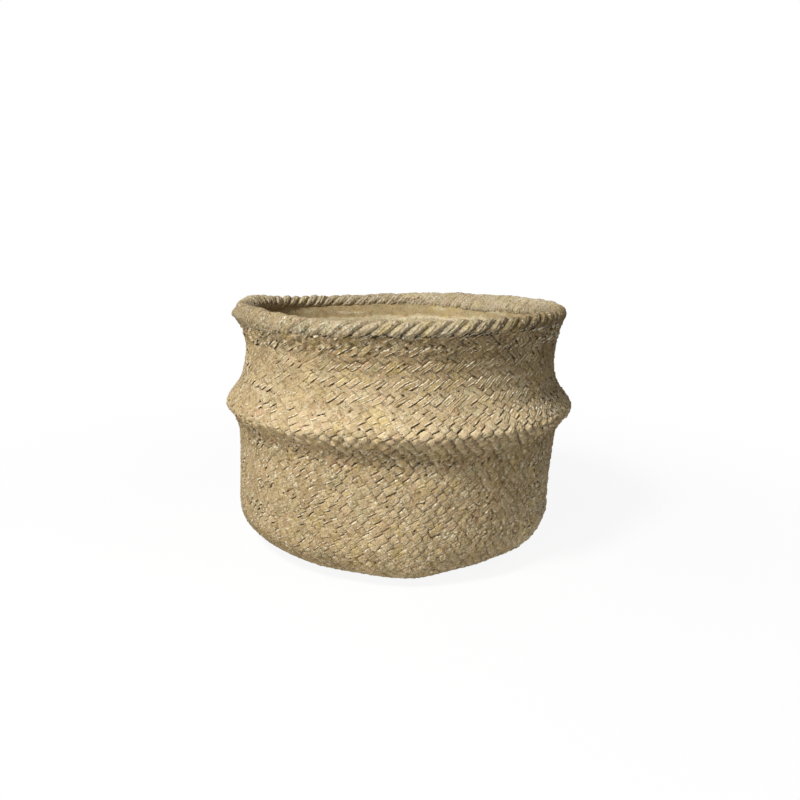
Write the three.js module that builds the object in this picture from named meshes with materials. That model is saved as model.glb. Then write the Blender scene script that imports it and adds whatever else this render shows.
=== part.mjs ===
// Round planter pot, cast in sand-coloured cement in the shape of a woven belly basket: a shell with a rope-twist rim,
// a rubber plug in its drain hole and four pads to stand on.
// Millimetres, +Z up. The origin is on the ground, under the middle of the pot.
import * as THREE from "three";
import { ParametricGeometry } from "three/addons/geometries/ParametricGeometry.js";

// Outside of the shell. Heights are measured from its foot.
const rimHeight = 216.6; // top of the rope
const wallRadius = 146.2; // lower wall, where the belly fold starts
const wallDraft = 0.8; // how much the lower wall draws in on its way down
const cornerRadius = 36.5; // rounding from the lower wall to the foot
const creaseHeight = 98;
const bellyRadius = 160.3;
const bellyHeight = 131;
const neckRadius = 142;
const neckHeight = 174;
const creaseSoftness = 20; // length of the fold's handles at the crease, the ridge and the neck
const ridgeSoftness = 9;
const neckSoftness = 32;

// Basket strips cast into the outside, in rows that lean to the right and to the left by turns
const stripCount = 96;
const stripRow = 12; // height of a row, about: each stretch of the outside holds whole rows
const stripSlope = 34; // degrees
const stripDepth = 1.6; // step from the edge of a strip down to the next one
const stripStep = 0.25; // share of a strip's pitch that the step takes

// Inside of the shell
const wallThickness = 12;
const foldThickness = 18; // the belly fold is filled thicker than the wall
const floorThickness = 16; // from the foot up to the inner floor
const footRingWidth = 25;
const recessDepth = 4; // hollow under the floor, inside the foot ring
const drainRadius = 12;

// Rope on the rim: strands that wind round each other
const ropeRingRadius = 144.9;
const ropeRadius = 6.4;
const strandRadius = 3.9;
const strandCount = 3;
const ropeTurns = 24;
const seatAngle = 46; // degrees that the groove on the lip reaches to each side of the rope's underside

// Drain plug
const plugTaper = 1.2;
const plugHeadRadius = 18;
const plugHeadHeight = 4;
const plugButtonRadius = 6;
const plugButtonHeight = 7;
const plugNeckRadius = 4.2;
const plugMargin = 2; // ring of floor left free round the plug's head

// Pads
const padCount = 4;
const padRadius = 10;
const padHeight = 3;
const padChamfer = 0.6;

// Room left between pieces that touch
const seatGap = 0.3;

// How finely the round forms are cut
const shellSegments = 48; // apart from the woven outside, which has two points to a strip
const curveSteps = 3; // of the inside and the rope's groove
const rubberSegments = 16;
const stepsPerTurn = 7;
const pointsPerStrand = 4;

const cement = new THREE.MeshStandardMaterial({ color: 0xa8916b, roughness: 0.95, metalness: 0 });
const rubber = new THREE.MeshStandardMaterial({ color: 0x2b2a28, roughness: 0.8, metalness: 0 });

const ropeHeight = rimHeight - ropeRadius;
const seatRadius = ropeRadius + seatGap;
const footRadius = wallRadius - wallDraft - cornerRadius;

const point = (radius, height) => new THREE.Vector2(radius, height);

// A solid of revolution about +Z from a profile of radius and height
function revolve(profile, segments) {
  return new THREE.LatheGeometry(profile, segments).rotateX(Math.PI / 2);
}

// Joins curves and corner points into one list, without doubling the point where two of them meet
function outline(...stretches) {
  const points = [];
  for (const stretch of stretches) {
    for (const next of [stretch].flat()) {
      const last = points.at(-1);
      if (!last || last.distanceTo(next) > 1e-6) points.push(next);
    }
  }
  return points;
}

// A rounded quarter from straight down to straight out
function cornerArc(centreRadius, centreHeight, radius) {
  return new THREE.EllipseCurve(centreRadius, centreHeight, radius, radius, -Math.PI / 2, 0);
}

// An S-curve between two upright stretches of wall, with a handle length at each end
function fold(lower, lowerHandle, upper, upperHandle) {
  return new THREE.CubicBezierCurve(
    lower,
    point(lower.x, lower.y + lowerHandle),
    point(upper.x, upper.y - upperHandle),
    upper,
  );
}

// The flare from the neck out to the lip starts upright
function flare(neck, lip) {
  return new THREE.QuadraticBezierCurve(neck, point(neck.x, (neck.y + lip.y) / 2), lip);
}

// The groove that carries the rope, from the outer edge of the lip to the inner one
function ropeSeat(steps) {
  const down = -Math.PI / 2;
  const reach = THREE.MathUtils.degToRad(seatAngle);
  const arc = new THREE.EllipseCurve(
    ropeRingRadius, ropeHeight, seatRadius, seatRadius, down + reach, down - reach, true,
  );
  return arc.getPoints(steps);
}

// A ring of the shell's smooth faces
function plainRing(at) {
  const ring = [];
  for (let i = 0; i < shellSegments; i += 1) {
    ring.push({ turn: i / shellSegments, radius: at.x, height: at.y });
  }
  return ring;
}

// Points between the rows of a stretch of the outside
function rows(curve) {
  return curve.getSpacedPoints(Math.max(1, Math.round(curve.getLength() / stripRow)));
}

// A ring of the woven outside: each strip has a point on its edge and one at the bottom of the step beside it
function wovenRing(edge, bottom, start) {
  const ring = [];
  for (let strip = 0; strip < stripCount; strip += 1) {
    const turn = start + strip / stripCount;
    ring.push({ turn, radius: edge.x, height: edge.y });
    ring.push({ turn: turn + stripStep / stripCount, radius: bottom.x, height: bottom.y });
  }
  return ring;
}

// The strips run out where the outside ends, at the foot and at the lip
function wovenRings(outside) {
  const lean = 1 / (Math.tan(THREE.MathUtils.degToRad(stripSlope)) * 2 * Math.PI * wallRadius);
  let start = 0;
  return outside.map((edge, i) => {
    const before = outside[i - 1] ?? edge;
    const after = outside[i + 1] ?? edge;
    const rise = after.clone().sub(before).normalize();
    const depth = before === edge || after === edge ? 0 : stripDepth;
    start += edge.distanceTo(before) * lean * (i % 2 ? 1 : -1);
    return wovenRing(edge, point(edge.x - rise.y * depth, edge.y + rise.x * depth), start);
  });
}

// Share of a turn from one place on, round to another
const onward = (from, to) => (((to - from) % 1) + 1) % 1;

// Joins two rings by triangles, each step going on along the ring that lags behind. Rings with as many points as each
// other are joined from their first points on, and others where they lie side by side.
function joinRings(lower, upper) {
  const passed = (ring, i) => (i < ring.length ? onward(ring[0].turn, ring[i].turn) : 1);
  const start = lower[0].turn;
  const isNext = ({ turn }, k) => onward(start, turn) < onward(start, upper.at(k - 1).turn);
  const first = lower.length === upper.length ? 0 : upper.findIndex(isNext);
  const beside = [...upper.slice(first), ...upper.slice(0, first)];
  const triangles = [];
  let i = 0;
  let j = 0;
  while (i < lower.length || j < beside.length) {
    const corners = [lower[i % lower.length], beside[j % beside.length]];
    const lags = j === beside.length || passed(lower, i + 1) < passed(beside, j + 1) + 1e-9;
    if (i < lower.length && lags) {
      i += 1;
      corners.splice(1, 0, lower[i % lower.length]);
    } else {
      j += 1;
      corners.splice(1, 0, beside[j % beside.length]);
    }
    triangles.push(...corners);
  }
  return triangles;
}

// A closed skin over a loop of rings
function skin(rings) {
  const points = rings.flat();
  const numbers = new Map(points.map((at, number) => [at, number]));
  const positions = points.flatMap(({ turn, radius, height }) => {
    const around = turn * 2 * Math.PI;
    return [radius * Math.cos(around), radius * Math.sin(around), height];
  });
  const corners = rings.flatMap((ring, r) => joinRings(ring, rings[(r + 1) % rings.length]));
  const geometry = new THREE.BufferGeometry();
  geometry.setAttribute("position", new THREE.Float32BufferAttribute(positions, 3));
  geometry.setIndex(corners.map((at) => numbers.get(at)));
  return geometry;
}

function makeShell() {
  const seat = ropeSeat(curveSteps);

  const footCorner = rows(cornerArc(footRadius, cornerRadius, cornerRadius));
  const crease = point(wallRadius, creaseHeight);
  const belly = point(bellyRadius, bellyHeight);
  const neck = point(neckRadius, neckHeight);
  const outside = outline(
    footCorner,
    rows(new THREE.LineCurve(footCorner.at(-1), crease)),
    rows(fold(crease, creaseSoftness, belly, ridgeSoftness)),
    rows(fold(belly, ridgeSoftness, neck, neckSoftness)),
    rows(flare(neck, seat.at(0))),
  );

  const innerCornerRadius = cornerRadius - wallThickness;
  const innerWallRadius = wallRadius - wallThickness;
  const innerFootRadius = innerWallRadius - wallDraft - innerCornerRadius;
  const innerCorner = cornerArc(innerFootRadius, floorThickness + innerCornerRadius, innerCornerRadius);
  const innerCrease = point(innerWallRadius, creaseHeight);
  const innerBelly = point(bellyRadius - foldThickness, bellyHeight);
  const innerNeck = point(neckRadius - wallThickness, neckHeight);
  const inside = outline(
    innerCorner.getPoints(curveSteps),
    fold(innerCrease, creaseSoftness, innerBelly, ridgeSoftness).getPoints(curveSteps),
    fold(innerBelly, ridgeSoftness, innerNeck, neckSoftness).getPoints(curveSteps),
    flare(innerNeck, seat.at(-1)).getPoints(curveSteps),
  );

  const recessRadius = footRadius - footRingWidth;
  const underside = [point(drainRadius, recessDepth), point(recessRadius, recessDepth), point(recessRadius, 0)];
  // The floor is in two rings, one under the plug's head and one that stays clear for what stands in the pot
  const drainTop = point(drainRadius, floorThickness);
  const plugRing = point(plugHeadRadius + plugMargin, floorThickness);
  const smooth = outline(seat, inside.reverse(), plugRing, drainTop).slice(1);
  return skin([...underside.map(plainRing), ...wovenRings(outside), ...smooth.map(plainRing)]);
}

// The strands' shared section, as a distance from the rope's middle: round a strand, then into the next groove
function strandReach(angle) {
  const spacing = (2 * Math.PI) / strandCount;
  const fromStrand = angle - spacing * Math.round(angle / spacing);
  const offset = ropeRadius - strandRadius;
  const across = offset * Math.sin(fromStrand);
  return offset * Math.cos(fromStrand) + Math.sqrt(strandRadius ** 2 - across ** 2);
}

// The section turns as it goes round the rim, so its points run along the strands
function makeRope() {
  const place = (along, across, target) => {
    const around = along * 2 * Math.PI;
    const angle = across * 2 * Math.PI;
    const turned = angle + around * ropeTurns;
    const reach = strandReach(angle);
    const radius = ropeRingRadius + reach * Math.cos(turned);
    target.set(radius * Math.cos(around), radius * Math.sin(around), ropeHeight + reach * Math.sin(turned));
  };
  return new ParametricGeometry(place, ropeTurns * stepsPerTurn, strandCount * pointsPerStrand);
}

function makePlug() {
  const shankTop = drainRadius - seatGap;
  const shankBottom = shankTop - plugTaper;
  const headBottom = floorThickness + seatGap;
  const headTop = headBottom + plugHeadHeight;
  const headRounding = plugHeadHeight / 2;
  const headEdge = new THREE.EllipseCurve(
    plugHeadRadius - headRounding, headBottom + headRounding, headRounding, headRounding, -Math.PI / 2, Math.PI / 2,
  );
  const buttonTop = headTop + plugButtonHeight;
  const buttonMiddle = headTop + plugButtonHeight / 2;
  const button = new THREE.EllipseCurve(
    0, buttonMiddle, plugButtonRadius, plugButtonHeight / 2, 0, Math.PI / 2,
  );
  return revolve(
    outline(
      point(0, recessDepth),
      point(shankBottom, recessDepth),
      point(shankTop, headBottom),
      headEdge.getPoints(6),
      point(plugNeckRadius, headTop),
      point(plugNeckRadius, buttonMiddle),
      button.getPoints(4).slice(0, -1),
      point(0, buttonTop),
    ),
    rubberSegments,
  );
}

function makePad() {
  const top = padHeight - seatGap;
  return revolve(
    [
      point(0, 0),
      point(padRadius - padChamfer, 0),
      point(padRadius, padChamfer),
      point(padRadius, top),
      point(0, top),
    ],
    rubberSegments,
  );
}

function named(name, geometry, material) {
  const mesh = new THREE.Mesh(geometry, material);
  mesh.name = name;
  return mesh;
}

const pot = new THREE.Group();

// Everything above the pads keeps its heights from the foot
const casting = new THREE.Group();
casting.position.z = padHeight;
casting.add(
  named("pot_shell", makeShell(), cement),
  named("rim_rope", makeRope(), cement),
  named("drain_plug", makePlug(), rubber),
);
pot.add(casting);

const padRingRadius = footRadius - footRingWidth / 2;
for (let i = 0; i < padCount; i += 1) {
  const pad = named(`foot_pad_${i + 1}`, makePad(), rubber);
  const around = ((i + 0.5) / padCount) * 2 * Math.PI;
  pad.position.set(padRingRadius * Math.cos(around), padRingRadius * Math.sin(around), 0);
  pot.add(pad);
}

export default pot;
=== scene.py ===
import math

import bmesh
import bpy
import numpy as np
from mathutils import Matrix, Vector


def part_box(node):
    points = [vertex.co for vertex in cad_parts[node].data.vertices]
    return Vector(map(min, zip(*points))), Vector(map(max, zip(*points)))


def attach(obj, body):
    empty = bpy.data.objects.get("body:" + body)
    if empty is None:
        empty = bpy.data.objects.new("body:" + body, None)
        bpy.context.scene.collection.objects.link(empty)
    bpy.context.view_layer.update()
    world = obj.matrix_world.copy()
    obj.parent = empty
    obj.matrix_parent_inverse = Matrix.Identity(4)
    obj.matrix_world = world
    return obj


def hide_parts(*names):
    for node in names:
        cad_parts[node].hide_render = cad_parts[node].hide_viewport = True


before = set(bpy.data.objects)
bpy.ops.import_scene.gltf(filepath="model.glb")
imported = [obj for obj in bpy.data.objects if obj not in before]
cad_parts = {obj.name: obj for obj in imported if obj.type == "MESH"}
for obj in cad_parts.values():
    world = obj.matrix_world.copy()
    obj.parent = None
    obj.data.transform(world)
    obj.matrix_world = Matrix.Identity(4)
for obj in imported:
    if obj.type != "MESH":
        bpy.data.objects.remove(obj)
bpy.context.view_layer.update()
print("frame loaded:", ", ".join(sorted(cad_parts)))

mm = 0.001
fullTurn = 2 * math.pi
shellLow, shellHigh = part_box("pot_shell")
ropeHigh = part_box("rim_rope")[1]
plugLow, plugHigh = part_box("drain_plug")


# Sums and curves that several pieces share

# 0 below low, 1 above high, with a soft S between them
def ease(value, low, high):
    share = np.clip((value - low) / (high - low), 0, 1)
    return share * share * (3 - 2 * share)


# A bell of height 1 about a middle, for heights and lengths
def hump(value, middle, width):
    return np.exp(-(((value - middle) / width) ** 2))


# The same for values that come round again, such as angles in degrees
def bell(value, middle, width, turn=360):
    away = (value - middle + turn / 2) % turn - turn / 2
    return hump(away, 0, width)


# Arc about a centre from one angle to another, in degrees
def arc(centre, radius, start, end, steps=60):
    angle = np.radians(np.linspace(start, end, steps))
    return np.stack([centre[0] + radius * np.cos(angle), centre[1] + radius * np.sin(angle)], axis=1)


# Bezier curve: the control points are blended in pairs until one is left
def bezier(*controls, steps=80):
    share = np.linspace(0, 1, steps)[:, None]
    points = [np.array(control, float) for control in controls]
    while len(points) > 1:
        points = [first + (second - first) * share for first, second in zip(points, points[1:])]
    return points[0]


# S-curve between two upright stretches of wall, with a handle length at each end
def fold(lower, lowerHandle, upper, upperHandle):
    return bezier(lower, (lower[0], lower[1] + lowerHandle), (upper[0], upper[1] - upperHandle), upper)


# Points at equal lengths along an outline. Corners are eased by a running mean over a few fine steps.
fineSteps = 4  # in each length


def evenly(outline, spacing, easing=1):
    length = np.r_[0, np.cumsum(np.hypot(*np.diff(outline, axis=0).T))]
    apart = np.r_[True, np.diff(length) > 1e-9]
    count = int(round(length[-1] / spacing)) * fineSteps + 1
    fine = np.linspace(0, length[-1], count)
    even = np.stack([np.interp(fine, length[apart], outline[apart, k]) for k in (0, 1)], axis=1)
    if easing > 1:
        padded = np.vstack([[even[0]] * (easing // 2), even, [even[-1]] * (easing // 2)])
        mean = np.ones(easing) / easing
        even = np.stack([np.convolve(padded[:, k], mean, "valid") for k in (0, 1)], axis=1)
    return fine[::fineSteps], even[::fineSteps]


# Rolling unevenness, by an amount each way: a sum of slanting waves of many lengths, each with a whole
# number of turns round the pot
def rolling(around, along, wavelength, seed, waves=24, by=1):
    draw = np.random.default_rng(seed)
    slant = draw.uniform(0, fullTurn, waves)
    length = wavelength * draw.uniform(0.7, 1.5, waves)
    turns = np.round(fullTurn * form["wallRadius"] / length * np.cos(slant))
    rise = fullTurn / length * np.sin(slant)
    phase = draw.uniform(0, fullTurn, waves)
    total = 0
    for wave in range(waves):
        total = total + np.cos(turns[wave] * around + rise[wave] * along + phase[wave])
    return by * total / math.sqrt(waves / 2)


# Round hollows in jittered cells: 1 in the middle of one, falling off as a bowl to 0 at its rim
def bubbles(around, along, cell, smallest, largest, share, seed):
    draw = np.random.default_rng(seed)
    columns = int(fullTurn * form["wallRadius"] / cell)
    rows = 64
    across = around / fullTurn * columns
    up = along / cell
    shiftX, shiftY, size, chance = draw.uniform(0, 1, (4, rows, columns))
    radius = smallest + (largest - smallest) * size ** 2
    deepest = np.zeros(np.broadcast(across, up).shape)
    for stepX in (-1, 0, 1):
        for stepY in (-1, 0, 1):
            column = np.floor(across).astype(int) + stepX
            row = np.floor(up).astype(int) + stepY
            at = (row % rows, column % columns)
            awayX = (across - column - shiftX[at]) * cell
            awayY = (up - row - shiftY[at]) * cell
            bowl = 1 - (awayX ** 2 + awayY ** 2) / radius[at] ** 2
            deepest = np.maximum(deepest, np.where(chance[at] < share, bowl, 0))
    return deepest


# The pot as it stands in the picture: its axis leans a little, and its rim is pushed over, is tilted and sags
# behind
stance = {
    "lean": 0.028,
    "rimShift": -2.1 * mm,
    "rimTilt": 0.0175,
    "bendFrom": 140 * mm,
    "bendTo": 210 * mm,
    "sag": 2.4 * mm,
    "sagAbout": (112, 25),  # middle and width, in degrees round from +X
}


def settle(points):
    moved = points.copy()
    x, y = points[..., 0], points[..., 1]
    height = points[..., 2] - shellLow.z
    bend = ease(height, stance["bendFrom"], stance["bendTo"])
    sag = stance["sag"] * bell(np.degrees(np.arctan2(y, x)), *stance["sagAbout"])
    moved[..., 0] += stance["lean"] * height + stance["rimShift"] * bend
    moved[..., 2] += (stance["rimTilt"] * x - sag) * bend
    return moved


# A grid of points, rows by columns, becomes one mesh. Columns close round the ring, and rows only if asked.
# The texture map lays the ring out in a few lengths, one above the other, so that it fills a square.
def gridMesh(name, points, closeRows=False, lengths=1):
    rows, columns = points.shape[:2]
    index = np.arange(rows * columns).reshape(rows, columns)
    if closeRows:
        index = np.vstack([index, index[:1]])
    index = np.hstack([index, index[:, :1]])
    corners = [index[:-1, :-1], index[:-1, 1:], index[1:, 1:], index[1:, :-1]]
    quads = np.stack(corners, axis=-1).reshape(-1, 4)
    mesh = bpy.data.meshes.new(name)
    mesh.vertices.add(rows * columns)
    mesh.vertices.foreach_set("co", points.astype(np.float32).ravel())
    mesh.loops.add(quads.size)
    mesh.loops.foreach_set("vertex_index", quads.astype(np.int32).ravel())
    mesh.polygons.add(len(quads))
    mesh.polygons.foreach_set("loop_start", np.arange(0, quads.size, 4, dtype=np.int32))
    mesh.polygons.foreach_set("use_smooth", np.ones(len(quads), bool))
    row, column = np.indices((index.shape[0] - 1, columns))
    stretch = column * lengths // columns
    first = np.ceil(stretch * columns / lengths)
    margin = 0.004
    size = np.array([columns / lengths, index.shape[0] - 1])
    places = []
    for stepX, stepY in ((0, 0), (1, 0), (1, 1), (0, 1)):
        inX = (column - first + stepX) / np.ceil(size[0])
        inY = (row + stepY) / size[1]
        places.append(np.stack([inX, (stretch + margin + (1 - 2 * margin) * inY) / lengths], axis=-1))
    layer = mesh.uv_layers.new(name="OFBake")
    layer.uv.foreach_set("vector", np.stack(places, axis=2).astype(np.float32).ravel())
    mesh.update(calc_edges=True)
    return mesh


# Normals of a ring-shaped grid, from the steps to its neighbours both ways
def gridNormals(points):
    onward = np.roll(points, -1, axis=1) - np.roll(points, 1, axis=1)
    normals = np.cross(onward, np.gradient(points, axis=0))
    return normals / np.linalg.norm(normals, axis=-1, keepdims=True)


# Values that a material reads at each point, such as how deep the point lies in the weave
def givePoints(mesh, **values):
    for name, value in values.items():
        layer = mesh.attributes.new(name, "FLOAT", "POINT")
        layer.data.foreach_set("value", np.ascontiguousarray(value, np.float32).ravel())


# Puts a mesh into the scene on its body, in place of its CAD node
def addPiece(mesh, material, body, node):
    piece = bpy.data.objects.new(mesh.name, mesh)
    bpy.context.scene.collection.objects.link(piece)
    mesh.materials.append(material)
    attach(piece, body)
    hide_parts(node)
    return piece


# A profile of radius and height turned round +Z, with its two ends on the axis drawn to single points
def turnedMesh(name, profile, columns):
    around = np.linspace(0, fullTurn, columns, endpoint=False)
    radius = profile[:, :1]
    height = np.broadcast_to(profile[:, 1:], (len(profile), columns))
    points = np.stack([radius * np.cos(around), radius * np.sin(around), height], axis=-1)
    mesh = gridMesh(name, points)
    work = bmesh.new()
    work.from_mesh(mesh)
    bmesh.ops.remove_doubles(work, verts=work.verts, dist=1e-6)
    work.to_mesh(mesh)
    work.free()
    return mesh


# Material building blocks

# A colour as it is read off a screen, 0 to 255, in the linear values that shaders take
def paint(red, green, blue):
    share = np.array([red, green, blue]) / 255
    linear = np.where(share <= 0.04045, share / 12.92, ((share + 0.055) / 1.055) ** 2.4)
    return (*linear.tolist(), 1.0)


# A shader node with its settings and inputs. An input is a socket of another node or a plain value.
def addNode(tree, kind, inputs=None, **settings):
    made = tree.nodes.new("ShaderNode" + kind)
    for name, value in settings.items():
        setattr(made, name, value)
    for name, value in (inputs or {}).items():
        if isinstance(value, bpy.types.NodeSocket):
            tree.links.new(value, made.inputs[name])
        else:
            made.inputs[name].default_value = value
    return made


def newMaterial(name, **shaderValues):
    material = bpy.data.materials.new(name)
    material.use_nodes = True
    tree = material.node_tree
    shader = tree.nodes["Principled BSDF"]
    for socket, value in shaderValues.items():
        shader.inputs[socket.replace("_", " ")].default_value = value
    place = addNode(tree, "TexCoord").outputs["Object"]
    return material, tree, shader, place


# Soft noise, 0 to 1, with patches of about a size
def noise(tree, place, size, detail=2.0, roughness=0.5):
    values = {"Vector": place, "Scale": 1 / size, "Detail": detail, "Roughness": roughness}
    return addNode(tree, "TexNoise", values).outputs["Fac"]


# 0 to 1 as the value goes from low to high, or back again where low is the greater
def between(tree, value, low, high):
    values = {"Value": value, "From Min": low, "From Max": high}
    return addNode(tree, "MapRange", values, interpolation_type="SMOOTHSTEP").outputs["Result"]


def sums(tree, operation, *values):
    return addNode(tree, "Math", dict(enumerate(values)), operation=operation).outputs[0]


def blend(tree, amount, first, second, blendType="MIX"):
    made = addNode(tree, "Mix", {0: amount, 6: first, 7: second}, data_type="RGBA", blend_type=blendType)
    return made.outputs[2]


def pointValue(tree, name):
    return addNode(tree, "Attribute", attribute_name=name).outputs["Fac"]


# Cement: sand-coloured, in small soft patches of yellow, pink and green, with pale crumbs and pinholes,
# painted shade in gaps, grooves and pinholes, and painted highlights along edges. Each pair is the value at
# which a patch or speck starts and the value at which it is full.
cement = {
    "sand": paint(212, 190, 151),
    "yellow": paint(219, 197, 145),
    "pink": paint(216, 188, 152),
    "green": paint(207, 191, 151),
    "mottle": paint(215, 210, 200),
    "grain": paint(196, 188, 174),
    # colour of the painted shade in gaps, grooves and pits
    "hollow": paint(66, 50, 30),
    "pale": paint(250, 240, 212),
    "pinhole": paint(84, 68, 46),
    "fleck": paint(190, 180, 160),
    "patchSize": 16 * mm,
    "pinkSize": 11.2 * mm,
    "mottleSize": 7 * mm,
    "grainSize": 1.5 * mm,
    "crumbSize": 2.1 * mm,
    "clusterSize": 9 * mm,
    "speckSize": 1.8 * mm,
    "pinholeSpacing": 4 * mm,
    "yellowFrom": (0.5, 0.68),
    "pinkFrom": (0.54, 0.7),
    "greenFrom": (0.46, 0.32),
    "mottleFrom": (0.6, 0.25),
    "grainFrom": (0.52, 0.3),
    "hollowFrom": (0.2, 0.9),
    "fleckFrom": (0.4, 0.33),
    "crumbFrom": (0.6, 0.68),
    "clusterFrom": (0.4, 0.58),
    "speckFrom": (0.36, 0.52),
    "pinholeFrom": (0.16, 0.09),
    "rareFrom": (0.5, 0.58),
    "crumbPaleness": 0.8,
    "pinholeDarkness": 0.8,
    "toneMiddle": 0.875,  # brightness at tone 0
    "toneStep": 0.13,  # what one step of tone adds to it
    "greenPower": 1.15,  # powers that make the darker tones warmer
    "bluePower": 1.45,
    "fibreLines": 3,  # lines across a strip
    "fibreWander": 4.0,
    "crumbHeight": 0.7,
    "pinholeDepth": 1.5,
    "bump": 0.7 * mm,
    "roughness": 0.93,
    "gloss": 0.2,
}


def cementMaterial(name, tint, hollowShade, fibreDepth, grit):
    material, tree, shader, place = newMaterial(
        name, Roughness=cement["roughness"], Specular_IOR_Level=cement["gloss"],
    )

    def times(first, second):
        return sums(tree, "MULTIPLY", first, second)

    def where(value, mark):
        return between(tree, value, *cement[mark + "From"])

    patch = noise(tree, place, cement["patchSize"])
    pinkPatch = noise(tree, place, cement["pinkSize"])
    mottle = noise(tree, place, cement["mottleSize"], detail=3, roughness=0.6)
    grain = noise(tree, place, cement["grainSize"], detail=1.5)
    crumb = noise(tree, place, cement["crumbSize"], detail=1)
    speck = noise(tree, place, cement["speckSize"], detail=1)
    cluster = noise(tree, place, cement["clusterSize"])
    gritty = times(where(cluster, "cluster"), grit)

    colour = blend(tree, where(patch, "yellow"), cement["sand"], cement["yellow"])
    colour = blend(tree, where(pinkPatch, "pink"), colour, cement["pink"])
    colour = blend(tree, where(patch, "green"), colour, cement["green"])
    colour = blend(tree, 1.0, colour, tint, "MULTIPLY")
    shade = sums(tree, "MULTIPLY_ADD", pointValue(tree, "tone"), cement["toneStep"], cement["toneMiddle"])
    channels = {
        "Red": shade,
        "Green": sums(tree, "POWER", shade, cement["greenPower"]),
        "Blue": sums(tree, "POWER", shade, cement["bluePower"]),
    }
    warmShade = addNode(tree, "CombineColor", channels).outputs[0]
    colour = blend(tree, 1.0, colour, warmShade, "MULTIPLY")
    colour = blend(tree, where(mottle, "mottle"), colour, cement["mottle"], "MULTIPLY")
    colour = blend(tree, times(where(grain, "grain"), grit), colour, cement["grain"], "MULTIPLY")

    # Painted shade in gaps, grooves and pits, as the points give it
    hollow = times(where(pointValue(tree, "hollow"), "hollow"), hollowShade)
    colour = blend(tree, hollow, colour, cement["hollow"])
    flecks = times(where(crumb, "fleck"), gritty)
    colour = blend(tree, flecks, colour, cement["fleck"], "MULTIPLY")
    # Pale crumbs, and painted highlight along edges broken into dashes
    crumbs = times(where(crumb, "crumb"), gritty)
    rubbed = times(pointValue(tree, "rubbed"), where(speck, "speck"))
    pale = sums(tree, "ADD", times(crumbs, cement["crumbPaleness"]), rubbed)
    colour = blend(tree, pale, colour, blend(tree, 1.0, cement["pale"], tint, "MULTIPLY"))
    # Pinholes: dented, and darkened as painted shade
    cell = addNode(tree, "TexVoronoi", {"Vector": place, "Scale": 1 / cement["pinholeSpacing"]})
    pinhole = times(where(cell.outputs["Distance"], "pinhole"), where(mottle, "rare"))
    colour = blend(tree, times(pinhole, cement["pinholeDarkness"]), colour, cement["pinhole"])
    tree.links.new(colour, shader.inputs["Base Color"])

    fibre = times(pointValue(tree, "fibre"), cement["fibreLines"] * fullTurn)
    fibre = sums(tree, "ADD", fibre, times(mottle, cement["fibreWander"]))
    height = sums(tree, "ADD", times(sums(tree, "SINE", fibre), fibreDepth), grain)
    height = sums(tree, "ADD", height, times(crumbs, cement["crumbHeight"]))
    height = sums(tree, "SUBTRACT", height, times(pinhole, cement["pinholeDepth"]))
    bump = addNode(tree, "Bump", {"Height": height, "Strength": 1.0, "Distance": cement["bump"]})
    tree.links.new(bump.outputs["Normal"], shader.inputs["Normal"])
    return material


# Rubber of the plug and pads: near black, dusty in patches, with a fine moulded grain
rubber = {
    "dark": paint(40, 38, 36),
    "dust": paint(104, 95, 82),
    "dustSize": 9 * mm,
    "dustFrom": (0.45, 0.75),
    "grainSize": 0.5 * mm,
    "bump": 0.15 * mm,
    "bumpStrength": 0.5,
    "gloss": 0.35,
    "roughness": 0.6,
    "dustRoughness": 0.3,  # what dust adds to the roughness
}


def rubberMaterial(name, dustShare):
    material, tree, shader, place = newMaterial(name, Specular_IOR_Level=rubber["gloss"])
    patch = noise(tree, place, rubber["dustSize"], detail=4, roughness=0.65)
    grain = noise(tree, place, rubber["grainSize"])
    dust = sums(tree, "MULTIPLY", between(tree, patch, *rubber["dustFrom"]), dustShare)
    tree.links.new(blend(tree, dust, rubber["dark"], rubber["dust"]), shader.inputs["Base Color"])
    roughness = sums(tree, "MULTIPLY_ADD", dust, rubber["dustRoughness"], rubber["roughness"])
    tree.links.new(roughness, shader.inputs["Roughness"])
    relief = {"Height": grain, "Strength": rubber["bumpStrength"], "Distance": rubber["bump"]}
    bump = addNode(tree, "Bump", relief)
    tree.links.new(bump.outputs["Normal"], shader.inputs["Normal"])
    return material


finishes = {
    "wovenCement": {"tint": (0.92, 0.9, 0.87, 1), "hollowShade": 1.0, "fibreDepth": 0.1, "grit": 0.55},
    "ropeCement": {"tint": (0.86, 0.9, 0.98, 1), "hollowShade": 0.48, "fibreDepth": 0.3, "grit": 0.9},
    "plainCement": {"tint": (0.93, 0.945, 0.925, 1), "hollowShade": 0.5, "fibreDepth": 0.0, "grit": 0.3},
}
wovenCement, ropeCement, plainCement = (cementMaterial(name, **finish) for name, finish in finishes.items())
plugRubber = rubberMaterial("plugRubber", dustShare=0.5)
padRubber = rubberMaterial("padRubber", dustShare=0.8)
print("materials made")


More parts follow.
